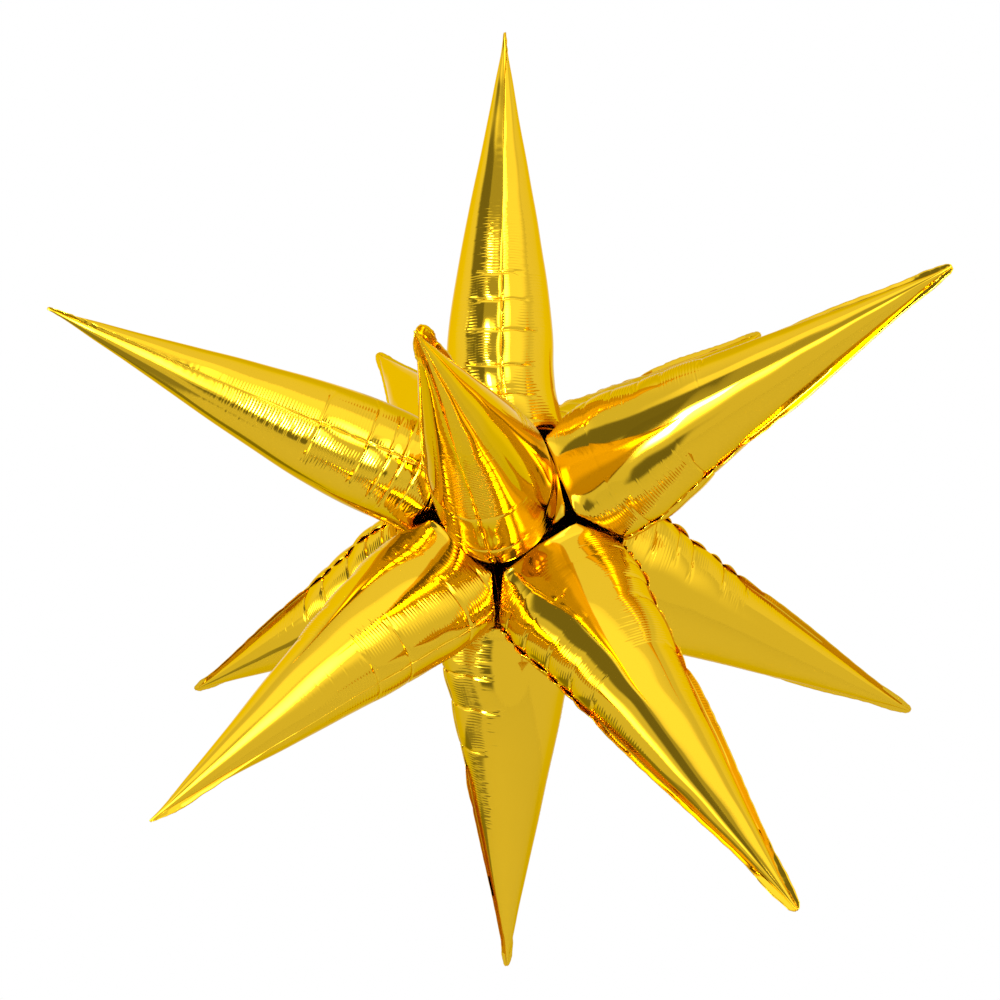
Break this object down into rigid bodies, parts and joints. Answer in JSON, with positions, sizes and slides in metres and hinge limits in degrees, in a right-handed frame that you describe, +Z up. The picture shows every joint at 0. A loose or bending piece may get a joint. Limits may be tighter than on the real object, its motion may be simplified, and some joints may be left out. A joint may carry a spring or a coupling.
{
  "type": "foil starburst balloon",
  "caption": "Hanging starburst of inflated gold foil cones, each welded from two panels and tied by its valve tail to a central ribbon.",
  "frame": {"origin": "centre of the tie, where the axes of all the cones meet", "axes": "+Z up along the hanging direction, -Y the front that the picture shows, +X to the right seen from the front"},
  "size_m": [0.6361, 0.6626, 0.7033],
  "materials": {
    "foil": "polished",
    "valve_film": "satin",
    "ribbon": "satin"
  },
  "bodies": {
    "tie": {"tie_ribbon": "ribbon"},
    "tail_top": {"valve_tail_top": "valve_film"},
    "spike_top": {"foil_a_top": "foil", "foil_b_top": "foil"},
    "tail_upper_left": {"valve_tail_upper_left": "valve_film"},
    "spike_upper_left": {"foil_a_upper_left": "foil", "foil_b_upper_left": "foil"},
    "tail_rear_low_left": {"valve_tail_rear_low_left": "valve_film"},
    "spike_rear_low_left": {"foil_a_rear_low_left": "foil", "foil_b_rear_low_left": "foil"},
    "tail_rear": {"valve_tail_rear": "valve_film"},
    "spike_rear": {"foil_a_rear": "foil", "foil_b_rear": "foil"},
    "tail_rear_low_right": {"valve_tail_rear_low_right": "valve_film"},
    "spike_rear_low_right": {"foil_a_rear_low_right": "foil", "foil_b_rear_low_right": "foil"},
    "tail_lower_right": {"valve_tail_lower_right": "valve_film"},
    "spike_lower_right": {"foil_a_lower_right": "foil", "foil_b_lower_right": "foil"},
    "tail_bottom": {"valve_tail_bottom": "valve_film"},
    "spike_bottom": {"foil_a_bottom": "foil", "foil_b_bottom": "foil"},
    "tail_lower_left": {"valve_tail_lower_left": "valve_film"},
    "spike_lower_left": {"foil_a_lower_left": "foil", "foil_b_lower_left": "foil"},
    "tail_front": {"valve_tail_front": "valve_film"},
    "spike_front": {"foil_a_front": "foil", "foil_b_front": "foil"},
    "tail_upper_right": {"valve_tail_upper_right": "valve_film"},
    "spike_upper_right": {"foil_a_upper_right": "foil", "foil_b_upper_right": "foil"},
    "tail_rear_high_right": {"valve_tail_rear_high_right": "valve_film"},
    "spike_rear_high_right": {"foil_a_rear_high_right": "foil", "foil_b_rear_high_right": "foil"},
    "tail_rear_high_left": {"valve_tail_rear_high_left": "valve_film"},
    "spike_rear_high_left": {"foil_a_rear_high_left": "foil", "foil_b_rear_high_left": "foil"}
  },
  "joints": [
    {"name": "rock_top", "type": "hinge", "parent": "tie", "child": "tail_top", "pos_m": [-0.00037, -0.00153, 0.01994], "axis": [-0.7327, -0.6774, -0.0653], "range_deg": [-1, 1]},
    {"name": "swivel_top", "type": "hinge", "parent": "tail_top", "child": "spike_top", "pos_m": [-0.00037, -0.00153, 0.01994], "axis": [-0.0183, -0.0763, 0.9969], "range_deg": [-8, 8]},
    {"name": "rock_upper_left", "type": "hinge", "parent": "tie", "child": "tail_upper_left", "pos_m": [-0.0176, -0.00505, 0.00804], "axis": [-0.4674, 0.3134, -0.8266], "range_deg": [-1, 1]},
    {"name": "swivel_upper_left", "type": "hinge", "parent": "tail_upper_left", "child": "spike_upper_left", "pos_m": [-0.0176, -0.00505, 0.00804], "axis": [-0.8802, -0.2524, 0.402], "range_deg": [-8, 8]},
    {"name": "rock_rear_low_left", "type": "hinge", "parent": "tie", "child": "tail_rear_low_left", "pos_m": [-0.01568, 0.00924, -0.00829], "axis": [0.6169, 0.6533, -0.4388], "range_deg": [-1, 1]},
    {"name": "swivel_rear_low_left", "type": "hinge", "parent": "tail_rear_low_left", "child": "spike_rear_low_left", "pos_m": [-0.01568, 0.00924, -0.00829], "axis": [-0.7841, 0.4618, -0.4147], "range_deg": [-8, 8]},
    {"name": "rock_rear", "type": "hinge", "parent": "tie", "child": "tail_rear", "pos_m": [0.00337, 0.01817, -0.00765], "axis": [0.9836, -0.1801, 0.0053], "range_deg": [-1, 1]},
    {"name": "swivel_rear", "type": "hinge", "parent": "tail_rear", "child": "spike_rear", "pos_m": [0.00337, 0.01817, -0.00765], "axis": [0.1684, 0.9084, -0.3827], "range_deg": [-8, 8]},
    {"name": "rock_rear_low_right", "type": "hinge", "parent": "tie", "child": "tail_rear_low_right", "pos_m": [0.0177, 0.00392, -0.00845], "axis": [0.1576, -0.9796, -0.1248], "range_deg": [-1, 1]},
    {"name": "swivel_rear_low_right", "type": "hinge", "parent": "tail_rear_low_right", "child": "spike_rear_low_right", "pos_m": [0.0177, 0.00392, -0.00845], "axis": [0.8848, 0.1962, -0.4226], "range_deg": [-8, 8]},
    {"name": "rock_lower_right", "type": "hinge", "parent": "tie", "child": "tail_lower_right", "pos_m": [0.00857, -0.01372, -0.01176], "axis": [-0.841, -0.0655, -0.537], "range_deg": [-1, 1]},
    {"name": "swivel_lower_right", "type": "hinge", "parent": "tail_lower_right", "child": "spike_lower_right", "pos_m": [0.00857, -0.01372, -0.01176], "axis": [0.4287, -0.6861, -0.5878], "range_deg": [-8, 8]},
    {"name": "rock_bottom", "type": "hinge", "parent": "tie", "child": "tail_bottom", "pos_m": [-0.0003, 0.00259, -0.01983], "axis": [-0.9932, 0.1128, 0.0296], "range_deg": [-1, 1]},
    {"name": "swivel_bottom", "type": "hinge", "parent": "tail_bottom", "child": "spike_bottom", "pos_m": [-0.0003, 0.00259, -0.01983], "axis": [-0.0148, 0.1297, -0.9914], "range_deg": [-8, 8]},
    {"name": "rock_lower_left", "type": "hinge", "parent": "tie", "child": "tail_lower_left", "pos_m": [-0.01267, -0.01141, -0.01045], "axis": [-0.0559, -0.6399, 0.7664], "range_deg": [-1, 1]},
    {"name": "swivel_lower_left", "type": "hinge", "parent": "tail_lower_left", "child": "spike_lower_left", "pos_m": [-0.01267, -0.01141, -0.01045], "axis": [-0.6336, -0.5705, -0.5225], "range_deg": [-8, 8]},
    {"name": "rock_front", "type": "hinge", "parent": "tie", "child": "tail_front", "pos_m": [-0.00269, -0.01913, 0.00518], "axis": [0.8179, 0.0404, 0.574], "range_deg": [-1, 1]},
    {"name": "swivel_front", "type": "hinge", "parent": "tail_front", "child": "spike_front", "pos_m": [-0.00269, -0.01913, 0.00518], "axis": [-0.1344, -0.9565, 0.2588], "range_deg": [-8, 8]},
    {"name": "rock_upper_right", "type": "hinge", "parent": "tie", "child": "tail_upper_right", "pos_m": [0.01534, -0.00922, 0.00892], "axis": [0.4511, 0.8821, 0.1357], "range_deg": [-1, 1]},
    {"name": "swivel_upper_right", "type": "hinge", "parent": "tail_upper_right", "child": "spike_upper_right", "pos_m": [0.01534, -0.00922, 0.00892], "axis": [0.7671, -0.4609, 0.4462], "range_deg": [-8, 8]},
    {"name": "rock_rear_high_right", "type": "hinge", "parent": "tie", "child": "tail_rear_high_right", "pos_m": [0.01269, 0.01204, 0.0097], "axis": [-0.6869, 0.7267, -0.0035], "range_deg": [-1, 1]},
    {"name": "swivel_rear_high_right", "type": "hinge", "parent": "tail_rear_high_right", "child": "spike_rear_high_right", "pos_m": [0.01269, 0.01204, 0.0097], "axis": [0.6344, 0.602, 0.4848], "range_deg": [-8, 8]},
    {"name": "rock_rear_high_left", "type": "hinge", "parent": "tie", "child": "tail_rear_high_left", "pos_m": [-0.0075, 0.01608, 0.00923], "axis": [-0.8571, -0.4903, 0.1578], "range_deg": [-1, 1]},
    {"name": "swivel_rear_high_left", "type": "hinge", "parent": "tail_rear_high_left", "child": "spike_rear_high_left", "pos_m": [-0.0075, 0.01608, 0.00923], "axis": [-0.3749, 0.8039, 0.4618], "range_deg": [-8, 8]}
  ]
}
